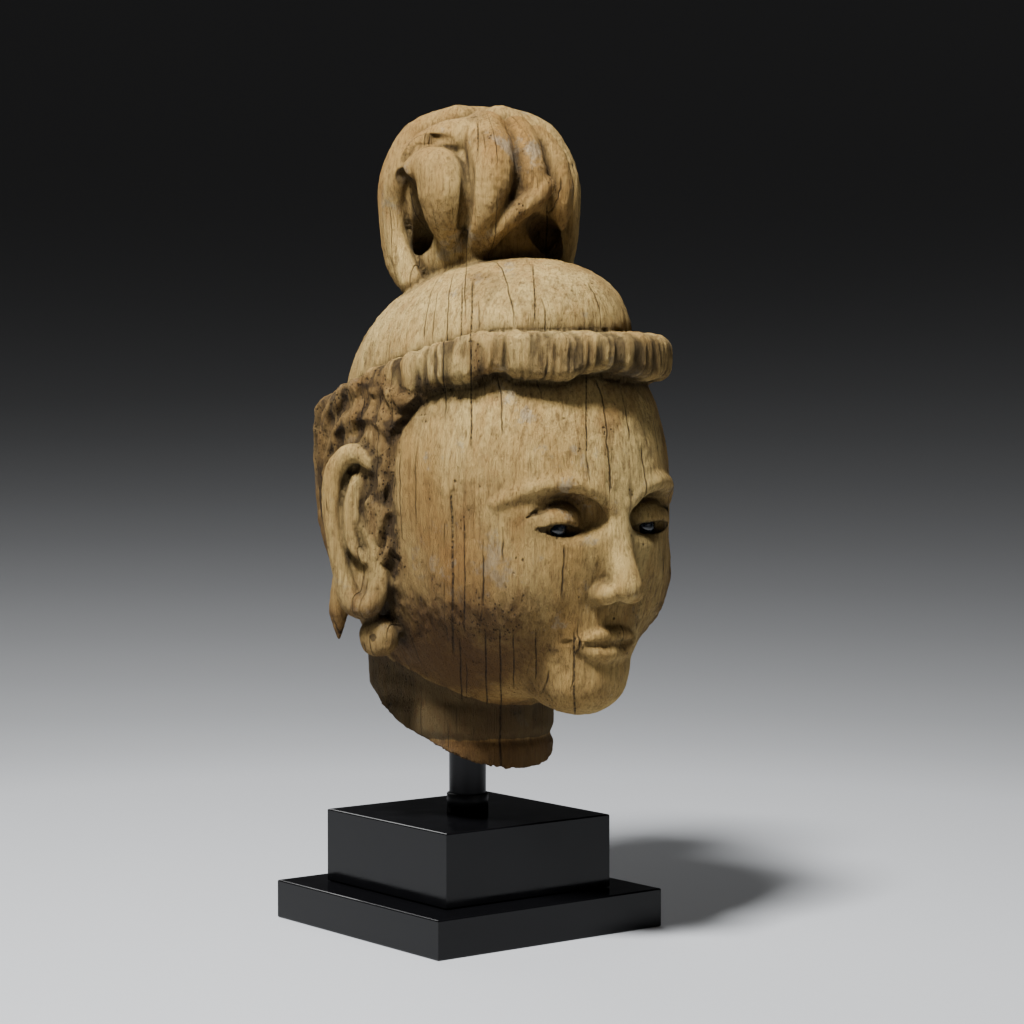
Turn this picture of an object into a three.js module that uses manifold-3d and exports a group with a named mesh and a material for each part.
// A carved wooden head with a looped topknot, held on a round post over a stepped lacquered stand.
// Millimetres, +Z up. The origin is the centre of the stand's underside and the face looks along -Y.

import * as THREE from 'three';
import { mergeVertices } from 'three/addons/utils/BufferGeometryUtils.js';
import Module from 'manifold-3d';

// Stand
const SLAB_SIDE = 230;
const SLAB_THICKNESS = 32;
const BLOCK_SIDE = 169;
const BLOCK_THICKNESS = 61;
const EDGE_BEVEL = 1.2;
const POST_DIAMETER = 31;
const COLLAR_WALL = 1.6;
const COLLAR_HEIGHT = 16;
const POST_SIDES = 24;
const FIT_GAP = 0.3;

// Head: its height from the foot of the carver's log to the top of the knot, and how it is held
const HEAD_HEIGHT = 553;
const HEAD_LIFT = 38;
const SOCKET_DEPTH = 150;
const SOCKET_GAP = 0.5;

// Inlaid eyes and the nail holes of the ear ornaments
const EYE_BEAD_DIAMETER = 17;
const NAIL_HOLE_DIAMETER = 5;
const NAIL_HOLE_DEPTH = 9;

// The carving is laid out in shares of the head's height: LOG_PARTS of them reach from foot to knot
const LOG_PARTS = 553;
const PART = HEAD_HEIGHT / LOG_PARTS;

// Face thirds, from the chin up
const CHIN = 58;
const FACE_THIRD = 89;
const NOSE_BASE = CHIN + FACE_THIRD;
const BROW = CHIN + 2 * FACE_THIRD;
const HAIRLINE = CHIN + 3 * FACE_THIRD;
const MOUTH = NOSE_BASE - FACE_THIRD / 3;
const EYE_LINE = BROW - FACE_THIRD / 4;
const EYE_WIDTH = 45;

// Masses of the head
const HEAD_AXIS = -40;
const FACE_HALF_WIDTH = 114;
const FACE_REACH = 160;
const HAIR_HALF_WIDTH = 126;
const BAND_TOP = 360;
const BAND_SLOPE = 0.245;
const BAND_BREAK = -132;
const NECK_HALF_WIDTH = 72;
const NECK_HALF_DEPTH = 88;
const NECK_AXIS = 10;
const NECK_CUT_FRONT = 5;
const NECK_CUT_SLOPE = 25.5;

// The topknot: its middle, its reach, and how far its main side turns from the face
const KNOT_CENTRE = new THREE.Vector3(0, -17, 479);
const KNOT_REACH = new THREE.Vector3(86, 86, 73);
const KNOT_TURN = 38;
const BACK_LOCKS = 6;
const HAIR_WAVE = 2.4;
const HAIR_FRONT = -54;
const HAIR_CORNER = 90;

const wasm = await Module();
wasm.setup();

const vec = (x, y, z) => new THREE.Vector3(x, y, z);
const degrees = THREE.MathUtils.degToRad;

// Two forms worked into one, with a fillet of the given size
function join(a, b, fillet) {
  const h = Math.max(fillet - Math.abs(a - b), 0) / fillet;
  return Math.min(a, b) - h * h * fillet / 4;
}

const common = (a, b, fillet) => -join(-a, -b, fillet);
const carve = (a, b, fillet) => common(a, -b, fillet);

function ellipsoid(p, centre, reach) {
  const q = p.clone().sub(centre).divide(reach);
  const k = q.length();
  return k * (k - 1) / Math.max(q.divide(reach).length(), 1e-6);
}

// An ellipsoid with squarer sections: plan is the exponent seen from above, rise the one from the side
function squareEgg(p, centre, reach, plan, rise) {
  const q = p.clone().sub(centre);
  const flat = (Math.abs(q.x) / reach.x) ** plan + (Math.abs(q.y) / reach.y) ** plan;
  const level = (flat ** (rise / plan) + (Math.abs(q.z) / reach.z) ** rise) ** (1 / rise);
  return q.length() * (1 - 1 / Math.max(level, 1e-3));
}

// The face: an egg with forehead, cheeks, mouth mound and chin, hollowed at the eyes
function face(p) {
  const q = vec(Math.abs(p.x), p.y, p.z);
  let d = squareEgg(p, vec(0, HEAD_AXIS, 214), vec(FACE_HALF_WIDTH, FACE_REACH, 157), 2.25, 2.1);
  d = join(d, ellipsoid(p, vec(0, -44, 269), vec(110, 150, 130)), 30);
  d = join(d, ellipsoid(q, vec(50, -112, NOSE_BASE + 16), vec(50, 60, 52)), 24);
  d = join(d, ellipsoid(p, vec(0, -138, MOUTH), vec(48, 48, 44)), 22);
  d = join(d, ellipsoid(p, vec(0, -148, CHIN + 27), vec(38, 36, 28)), 18);
  return carve(d, ellipsoid(q, vec(EYE_WIDTH - 1, -205, EYE_LINE + 5), vec(36, 34, 21)), 9);
}

// A bead whose middle is sunk below the front of the face
function onFace(x, z, radius, sink) {
  let near = -240;
  let far = -90;
  for (let i = 0; i < 24; i++) {
    const middle = (near + far) / 2;
    if (face(vec(x, middle, z)) < 0) far = middle;
    else near = middle;
  }
  return [vec(x, far + sink, z), radius];
}

const browBeads = [
  onFace(9, BROW - 12, 4, 1.5), onFace(24, BROW + 1, 5, 2), onFace(46, BROW + 7, 5.2, 2),
  onFace(68, BROW + 3, 4.6, 2), onFace(88, BROW - 9, 3, 1.5),
];
const noseBeads = [
  [vec(0, -186, BROW + 2), 9],
  [vec(0, -192, BROW - 24), 9.5],
  [vec(0, -200, NOSE_BASE + 38), 11],
  [vec(0, -206, NOSE_BASE + 14), 13],
];
const noseWing = [vec(12.5, -193, NOSE_BASE + 10), vec(10, 16, 9.5)];
const upperLipBeads = [
  onFace(0, MOUTH + 5, 6, 0.5), onFace(9, MOUTH + 6.5, 6.4, 0.5), onFace(20, MOUTH + 4, 5, 0.5),
  onFace(31, MOUTH + 1, 3, 1),
];
const lowerLipBeads = [
  onFace(0, MOUTH - 8, 7.4, 1), onFace(13, MOUTH - 7.5, 6.6, 1), onFace(27, MOUTH - 2, 3.4, 1),
];
const eyelid = [vec(EYE_WIDTH + 1, -159, EYE_LINE - 1), vec(28, 28, 20)];

// The hair lies over the skull behind the hairline, up to the band, and waves around the ear
function hair(p) {
  const q = vec(Math.abs(p.x), p.y, p.z);
  const shell = squareEgg(p, vec(0, -20, 264), vec(HAIR_HALF_WIDTH, 148, 150), 2.2, 2.8);
  const ring = q.distanceTo(vec(120, -24, 236));
  const wave = HAIR_WAVE * THREE.MathUtils.smoothstep(ring, 22, 60) * Math.sin(2 * Math.PI * ring / 26);
  return common(shell - wave, p.z - bandLevel(p.y) + 3, 12);
}

// The hairline rises in front of the ear and turns forward under the roll
function hairShape() {
  const opening = new THREE.Shape();
  opening.moveTo(HAIR_FRONT, CHIN);
  opening.lineTo(HAIR_FRONT, HAIRLINE - HAIR_CORNER);
  opening.quadraticCurveTo(HAIR_FRONT, HAIRLINE, HAIR_FRONT - HAIR_CORNER, HAIRLINE);
  opening.lineTo(-FACE_REACH * 2, HAIRLINE);
  opening.lineTo(-FACE_REACH * 2, CHIN);
  const width = 4 * HAIR_HALF_WIDTH;
  const prism = new THREE.ExtrudeGeometry(opening, { depth: width, bevelEnabled: false, curveSegments: 8 });
  prism.applyMatrix4(new THREE.Matrix4().makeBasis(vec(0, 1, 0), vec(0, 0, 1), vec(1, 0, 0)));
  prism.translate(-width / 2, 0, 0);
  const shell = toSolid(skin(hair, vec(0, -22, 250), vec(160, 190, 170), 26, 14));
  return toGeometry(shell.subtract(toSolid(prism)));
}

const bandLevel = (y) => BAND_TOP - BAND_SLOPE * Math.max(0, y - BAND_BREAK);

// The roll of hair over the forehead: its section, from the foot up and round to the inside
const rollSection = [[70, -30], [111, -38], [118, -33], [122, -22], [121, -10], [115, -2], [104, 1], [70, 2]];

// It is parted in the middle and at the temples, where its face and its lower edge draw in
function bandRoll() {
  const section = rollSection.map(([out, up]) => new THREE.Vector2(out, up));
  const turned = new THREE.LatheGeometry([...section, section[0]], 40).rotateX(Math.PI / 2);
  const geometry = mergedPositions(turned);
  const place = geometry.attributes.position;
  for (let i = 0; i < place.count; i++) {
    const out = Math.hypot(place.getX(i), place.getY(i));
    const turn = Math.atan2(place.getX(i), -place.getY(i));
    const angle = Math.abs(THREE.MathUtils.radToDeg(turn));
    const part = Math.exp(-(((angle - 6) / 8) ** 2)) + 0.7 * Math.exp(-(((angle - 45) / 7) ** 2));
    const low = THREE.MathUtils.smoothstep(-place.getZ(i), 10, 38) * part;
    const x = Math.sin(turn) * (out - 5 * low);
    const y = HEAD_AXIS - 2 - Math.cos(turn) * (out - 5 * low) * 167 / 121;
    place.setXYZ(i, x, y, bandLevel(y) + place.getZ(i) + 11 * low);
  }
  return geometry;
}

// The smooth cap of hair over the band leans forward as it rises
function cap(p) {
  const lean = 0.45 * (p.z - 349);
  return squareEgg(vec(p.x, p.y + lean, p.z), vec(0, -36, 324), vec(102, 130, 98), 2.1, 2.3);
}

function neck(p) {
  const q = vec(p.x / NECK_HALF_WIDTH, (p.y - NECK_AXIS) / NECK_HALF_DEPTH, 0);
  const crease = 2.5 * Math.exp(-(((p.z - 30) / 5) ** 2)) + 2 * Math.exp(-(((p.z - 62) / 6) ** 2));
  return common((q.length() - 1) * NECK_HALF_WIDTH + crease, Math.abs(p.z - 70) - 90, 6);
}

// The ear's plate with its hollows; the rim, the lobe and the inner ridge are locks laid on it
function earPlate(p) {
  let d = ellipsoid(p, vec(-4, 0, -4), vec(14, 24, 68));
  d = carve(d, ellipsoid(p, vec(12, 2, -22), vec(10, 11, 32)), 4);
  return carve(d, ellipsoid(p, vec(9, -7, 20), vec(13, 7, 22)), 3);
}

const earRimBeads = [
  [vec(2, -6, 8), 4.5], [vec(3, -19, 22), 6.5], [vec(5, -22, 42), 7], [vec(8, -10, 60), 8],
  [vec(10, 6, 64), 8.5], [vec(12, 19, 51), 8.5], [vec(12, 23, 26), 8], [vec(10, 21, -4), 7.5],
  [vec(8, 16, -32), 8], [vec(6, 8, -54), 10.5], [vec(5, -6, -58), 10.5], [vec(2, -15, -44), 8.5],
  [vec(0, -18, -24), 6.5],
];
const earRidgeBeads = [
  [vec(5, 4, 44), 5], [vec(7, 9, 26), 6], [vec(7, 9, 6), 6], [vec(6, 5, -12), 5.5], [vec(4, -4, -20), 5],
];
const EAR_PLACE = vec(120, -22, 200);
const EAR_FLARE = 24;

// The tapering end of a lock that hangs behind the ear
const hangingLockBeads = [
  [vec(104, 18, 200), 9], [vec(112, 22, 160), 8], [vec(113, 25, 134), 8], [vec(112, 26, 112), 2],
];

// The round ornament under the ear, a thick button that faces partly forward
const ORNAMENT_PLACE = vec(108, -26, 117);
const ORNAMENT_TURN = 30;
const ORNAMENT_REACH = vec(13, 16.5, 17);

// A bead on the knot's main side: across to its right, up, its radius, and how deep its middle is sunk
function onKnot(across, up, radius, sink = radius) {
  const flat = 1 - (across / KNOT_REACH.x) ** 2 - (up / KNOT_REACH.z) ** 2;
  const out = (KNOT_REACH.y - sink) * Math.sqrt(Math.max(flat, 0.02));
  const drawn = vec(across * (1 - sink / KNOT_REACH.x), -out, up * (1 - sink / KNOT_REACH.z));
  return [drawn, radius];
}

const knotLocks = [
  // the outer roll, from the crown down the right side to the cap
  [onKnot(10, 58, 15), onKnot(-14, 52, 17), onKnot(-40, 46, 15), onKnot(-62, 29, 12), onKnot(-75, 6, 10),
    onKnot(-77, -18, 10), [vec(-67, -26, -42), 10.5], [vec(-55, -34, -74), 11]],
  // the egg-shaped lock that curls inside it
  [onKnot(-60, 17, 13), onKnot(-50, 17, 14), onKnot(-37, 11, 17, 12), onKnot(-32, -8, 19, 13),
    onKnot(-30, -28, 16, 13), onKnot(-28, -46, 9, 10)],
  // the broad lock in the middle, drawn to a point
  [onKnot(6, 58, 16), onKnot(13, 36, 17, 15), onKnot(14, 10, 17, 14), onKnot(9, -16, 14, 12),
    onKnot(2, -38, 10, 9), onKnot(-6, -58, 7)],
  // the short lock with a blunt end
  [onKnot(34, 56, 11), onKnot(43, 34, 13), onKnot(50, 10, 12), onKnot(52, -8, 9)],
  // the long strand that turns and crosses below it
  [onKnot(30, 54, 7), onKnot(33, 34, 7.5, 7), onKnot(41, 6, 7.5, 6), onKnot(38, -14, 7.5, 6),
    onKnot(23, -33, 7.5, 8), onKnot(8, -48, 7.5, 8), onKnot(-5, -64, 7, 8)],
  // the last lock on the left side
  [onKnot(54, 48, 12), onKnot(70, 26, 14), onKnot(76, 0, 14), onKnot(74, -22, 11), onKnot(68, -36, 8, 9)],
];

// The back of the knot is plainer: tapering locks from the crown to the cap
for (let i = 0; i < BACK_LOCKS; i++) {
  const turn = degrees(106 + i * 180 / BACK_LOCKS);
  const beads = [[18, 60, 12], [52, 44, 16], [68, 10, 18], [68, -26, 18], [66, -56, 15], [60, -76, 10]];
  knotLocks.push(beads.map(([out, up, radius]) => (
    [vec(Math.sin(turn) * out, -Math.cos(turn) * out, up), radius])));
}

// The deep slot between the roll and the lock inside it
const knotSlot = [
  onKnot(-62, -10, 7, 5), onKnot(-59, -26, 10, 7), onKnot(-51, -48, 10, 7), onKnot(-42, -68, 8, 6),
];

// The level of a round lock along the curve through its beads
function lockLevel(beads) {
  const steps = 3 * (beads.length - 1);
  const curve = new THREE.CatmullRomCurve3(beads.map(([point]) => point), false, 'centripetal');
  const spots = curve.getPoints(steps);
  return (p) => {
    let nearest = Infinity;
    for (let i = 0; i < steps; i++) {
      const run = spots[i + 1].clone().sub(spots[i]);
      const from = p.clone().sub(spots[i]);
      const share = THREE.MathUtils.clamp(from.dot(run) / run.lengthSq(), 0, 1);
      const reach = from.addScaledVector(run, -share).length();
      nearest = Math.min(nearest, reach - radiusAt(beads, (i + share) / steps));
    }
    return nearest;
  };
}

const lockLevels = knotLocks.map(lockLevel);

// The knot, seen from its own middle and turned to its main side
function knot(p) {
  let d = ellipsoid(p, vec(0, 2, -2), vec(72, 72, 62));
  d = join(d, ellipsoid(p, vec(0, 6, -52), vec(66, 62, 44)), 12);
  for (const level of lockLevels) d = join(d, level(p), 3);
  return d;
}

// A closed skin drawn from an outer ellipsoid straight in towards its centre until it meets the form.
// crowd pulls its lines together at the front, where the finest carving is.
function skin(form, centre, reach, around, rings, crowd = 0) {
  const geometry = mergedPositions(new THREE.SphereGeometry(1, around, rings).rotateX(Math.PI / 2));
  const place = geometry.attributes.position;
  const v = vec();
  for (let i = 0; i < place.count; i++) {
    v.fromBufferAttribute(place, i);
    const turn = Math.atan2(v.x, -v.y);
    const rise = Math.asin(THREE.MathUtils.clamp(v.z, -1, 1));
    const az = turn - crowd * Math.sin(turn);
    const el = rise - crowd * 0.4 * Math.sin(2 * rise);
    v.set(Math.sin(az) * Math.cos(el), -Math.cos(az) * Math.cos(el), Math.sin(el)).multiply(reach);
    place.setXYZ(i, ...centre.clone().addScaledVector(v, meet(form, centre, v)).toArray());
  }
  return geometry;
}

// The share of the way out at which the form's surface is met, coming in from outside
function meet(form, centre, out) {
  const steps = 60;
  const at = (share) => form(centre.clone().addScaledVector(out, share));
  let outer = 1;
  let inner = 1;
  for (let i = steps - 1; i > 0; i--) {
    inner = i / steps;
    if (at(inner) < 0) break;
    outer = inner;
  }
  for (let i = 0; i < 12; i++) {
    const middle = (outer + inner) / 2;
    if (at(middle) < 0) inner = middle;
    else outer = middle;
  }
  return (outer + inner) / 2;
}

const ball = ([centre, reach], around = 16, rings = 12) => (
  new THREE.SphereGeometry(1, around, rings).rotateX(Math.PI / 2)
    .scale(reach.x, reach.y, reach.z).translate(centre.x, centre.y, centre.z));

// A tapering round lock bent along a smooth curve through its beads, closed at both ends
function lock(beads, sides, steps) {
  const curve = new THREE.CatmullRomCurve3(beads.map(([point]) => point), false, 'centripetal');
  const frames = carriedFrames(curve, steps);
  const geometry = mergedPositions(new THREE.CapsuleGeometry(1, steps, 1, sides, steps));
  const place = geometry.attributes.position;
  for (let i = 0; i < place.count; i++) {
    const height = place.getY(i) + steps / 2;
    const step = THREE.MathUtils.clamp(Math.round(height), 0, steps);
    const { point, along, side, over } = frames[step];
    const radius = radiusAt(beads, step / steps);
    const beyond = height < 0 || height > steps ? (height - step) * radius : 0;
    const spot = point.clone().addScaledVector(along, beyond)
      .addScaledVector(side, place.getX(i) * radius).addScaledVector(over, place.getZ(i) * radius);
    place.setXYZ(i, spot.x, spot.y, spot.z);
  }
  return geometry;
}

// Frames along a curve, each turned from the one before by no more than the curve itself
function carriedFrames(curve, steps) {
  const frames = [];
  const side = vec(0.48, 0.6, 0.64);
  for (let i = 0; i <= steps; i++) {
    const along = curve.getTangent(i / steps);
    side.addScaledVector(along, -side.dot(along)).normalize();
    const over = side.clone().cross(along);
    frames.push({ point: curve.getPoint(i / steps), along, side: side.clone(), over });
  }
  return frames;
}

function radiusAt(beads, share) {
  const spot = share * (beads.length - 1);
  const i = Math.min(Math.floor(spot), beads.length - 2);
  return THREE.MathUtils.lerp(beads[i][1], beads[i + 1][1], spot - i);
}

function mergedPositions(geometry) {
  geometry.deleteAttribute('normal');
  geometry.deleteAttribute('uv');
  return mergeVertices(geometry, 1e-4);
}

function toSolid(geometry) {
  const merged = mergedPositions(geometry);
  return new wasm.Manifold(new wasm.Mesh({
    numProp: 3,
    vertProperties: new Float32Array(merged.attributes.position.array),
    triVerts: new Uint32Array(merged.index.array),
  }));
}

function toGeometry(solid) {
  const mesh = solid.getMesh();
  const geometry = new THREE.BufferGeometry();
  geometry.setAttribute('position', new THREE.BufferAttribute(new Float32Array(mesh.vertProperties), 3));
  geometry.setIndex(new THREE.BufferAttribute(new Uint32Array(mesh.triVerts), 1));
  return geometry;
}

const joined = (geometries) => toGeometry(geometries.map(toSolid).reduce((a, b) => a.add(b)));

// The same solid on the other side of the middle plane
function mirrored(geometry) {
  const other = mergedPositions(geometry.clone()).scale(-1, 1, 1);
  const index = other.index.array;
  for (let i = 0; i < index.length; i += 3) [index[i], index[i + 1]] = [index[i + 1], index[i]];
  return other;
}

const bothSides = (geometry) => [geometry, mirrored(geometry)];

function earShape() {
  const plate = skin(earPlate, vec(-16, 0, -2), vec(50, 50, 90), 12, 11);
  const flap = ball([vec(1, -16, 3), vec(8, 6, 11)], 8, 6);
  const ear = joined([plate, lock(earRimBeads, 6, 13), lock(earRidgeBeads, 5, 4), flap]);
  return ear.rotateZ(degrees(-EAR_FLARE)).translate(EAR_PLACE.x, EAR_PLACE.y, EAR_PLACE.z);
}

function knotShape() {
  const whole = toSolid(skin(knot, vec(0, -6, -14), vec(115, 115, 105), 46, 28, 0.35));
  return toGeometry(whole.subtract(toSolid(lock(knotSlot, 8, 6)))).rotateZ(degrees(-KNOT_TURN))
    .translate(KNOT_CENTRE.x, KNOT_CENTRE.y, KNOT_CENTRE.z);
}

function ornament() {
  const radius = NAIL_HOLE_DIAMETER / 2;
  const nail = new THREE.CylinderGeometry(radius, radius, 2 * NAIL_HOLE_DEPTH, 10);
  nail.rotateZ(Math.PI / 2).translate(ORNAMENT_REACH.x, 0, 0);
  const button = toSolid(ball([vec(), ORNAMENT_REACH], 12, 8)).subtract(toSolid(nail));
  return toGeometry(button).rotateZ(degrees(-ORNAMENT_TURN))
    .translate(ORNAMENT_PLACE.x, ORNAMENT_PLACE.y, ORNAMENT_PLACE.z);
}

// The opening between the lids, cut down to the eyeball that stays behind it
function lidOpening() {
  const half = EYE_WIDTH / 2 - 2;
  const outline = new THREE.Shape();
  outline.moveTo(-half, -1);
  outline.quadraticCurveTo(-half * 0.2, 9, half, 1);
  outline.quadraticCurveTo(0, -10, -half, -1);
  const depth = 60;
  const prism = new THREE.ExtrudeGeometry(outline, { depth, bevelEnabled: false, curveSegments: 6 });
  prism.rotateX(Math.PI / 2).translate(EYE_WIDTH + 1, -160, EYE_LINE - 7);
  const eyeball = ball([vec(EYE_WIDTH + 1, -158, EYE_LINE - 1), vec(26, 23, 21)], 16, 12);
  return toGeometry(toSolid(prism).subtract(toSolid(eyeball)));
}

const eyeCentre = vec(EYE_WIDTH, -180 + EYE_BEAD_DIAMETER / PART / 2 - 2, EYE_LINE - 7);

function carvedHead() {
  const additions = [
    skin(face, vec(0, -40, 215), vec(150, 215, 200), 32, 22, 0.5),
    hairShape(),
    bandRoll(),
    skin(cap, vec(0, -45, 350), vec(150, 190, 120), 24, 10),
    skin(neck, vec(0, NECK_AXIS, 70), vec(100, 120, 130), 20, 8),
    knotShape(), lock(noseBeads, 8, 6), ...bothSides(ball(noseWing, 8, 6)),
    ...bothSides(lock(upperLipBeads, 8, 5)), ...bothSides(lock(lowerLipBeads, 8, 4)),
    ...bothSides(ball(eyelid, 12, 9)), ...bothSides(lock(browBeads, 6, 5)),
    ...bothSides(earShape()), ...bothSides(lock(hangingLockBeads, 6, 4)),
    ...bothSides(ornament()),
  ];
  let head = toSolid(joined(additions));
  for (const opening of bothSides(lidOpening())) head = head.subtract(toSolid(opening));
  return toGeometry(cutForStand(head));
}

// The neck ends in a slanting cut, lowest in front
function cutForStand(head) {
  const size = 400;
  const saw = new THREE.BoxGeometry(size, size, size).translate(0, 0, -size / 2);
  saw.rotateX(degrees(NECK_CUT_SLOPE)).translate(0, NECK_AXIS - NECK_HALF_DEPTH, NECK_CUT_FRONT);
  return head.subtract(toSolid(saw));
}

// A bar with a square plan and bevelled edges, standing on the given level
function squareBlock(side, thickness, level) {
  const half = side / 2 - EDGE_BEVEL;
  const plan = new THREE.Shape([
    new THREE.Vector2(-half, -half), new THREE.Vector2(half, -half),
    new THREE.Vector2(half, half), new THREE.Vector2(-half, half),
  ]);
  const geometry = new THREE.ExtrudeGeometry(plan, {
    depth: thickness - 2 * EDGE_BEVEL,
    bevelThickness: EDGE_BEVEL, bevelSize: EDGE_BEVEL, bevelSegments: 2,
  });
  return geometry.translate(0, 0, level + EDGE_BEVEL);
}

function rod(diameter, low, high, sides = POST_SIDES) {
  const geometry = new THREE.CylinderGeometry(diameter / 2, diameter / 2, high - low, sides);
  return geometry.rotateX(Math.PI / 2).translate(0, 0, (low + high) / 2);
}

const blockLevel = SLAB_THICKNESS + FIT_GAP;
const blockTop = blockLevel + BLOCK_THICKNESS;
const postFoot = blockTop + FIT_GAP;
const headFoot = blockTop + HEAD_LIFT;
const socketTop = headFoot + NECK_CUT_FRONT * PART + SOCKET_DEPTH;
const postTop = socketTop - FIT_GAP;

// The head as it stands: sized from its parts, lifted onto the post, bored, and pocketed for the eyes
function standingHead() {
  const head = toSolid(carvedHead().scale(PART, PART, PART).translate(0, 0, headFoot));
  const bore = rod(POST_DIAMETER + 2 * SOCKET_GAP, postFoot, socketTop);
  let finished = head.subtract(toSolid(bore));
  for (const side of [-1, 1]) finished = finished.subtract(toSolid(eyeBead(side, FIT_GAP)));
  return toGeometry(finished);
}

function eyeBead(side, gap = 0) {
  const bead = new THREE.SphereGeometry(EYE_BEAD_DIAMETER / 2 + gap, 10, 7);
  const place = eyeCentre.clone().multiplyScalar(PART);
  return bead.translate(side * place.x, place.y, headFoot + place.z);
}

function collar() {
  const bore = rod(POST_DIAMETER + 2 * FIT_GAP, postFoot - 1, postFoot + COLLAR_HEIGHT + 1);
  const sleeve = rod(POST_DIAMETER + 2 * (FIT_GAP + COLLAR_WALL), postFoot, postFoot + COLLAR_HEIGHT);
  return toGeometry(toSolid(sleeve).subtract(toSolid(bore)));
}

const wood = new THREE.MeshStandardMaterial({ color: 0xa8875a, roughness: 0.85, metalness: 0 });
const glass = new THREE.MeshStandardMaterial({ color: 0x2a3440, roughness: 0.1, metalness: 0 });
const lacquer = new THREE.MeshStandardMaterial({ color: 0x0b0b0c, roughness: 0.28, metalness: 0 });
const steel = new THREE.MeshStandardMaterial({ color: 0x141415, roughness: 0.4, metalness: 0.6 });

function named(name, geometry, material) {
  const mesh = new THREE.Mesh(geometry, material);
  mesh.name = name;
  return mesh;
}

const headOnStand = new THREE.Group();
headOnStand.add(
  named('carved_head', standingHead(), wood),
  named('glass_eye_right', eyeBead(-1), glass),
  named('glass_eye_left', eyeBead(1), glass),
  named('post', rod(POST_DIAMETER, postFoot, postTop), steel),
  named('post_collar', collar(), steel),
  named('upper_block', squareBlock(BLOCK_SIDE, BLOCK_THICKNESS, blockLevel), lacquer),
  named('lower_slab', squareBlock(SLAB_SIDE, SLAB_THICKNESS, 0), lacquer),
);

export default headOnStand;
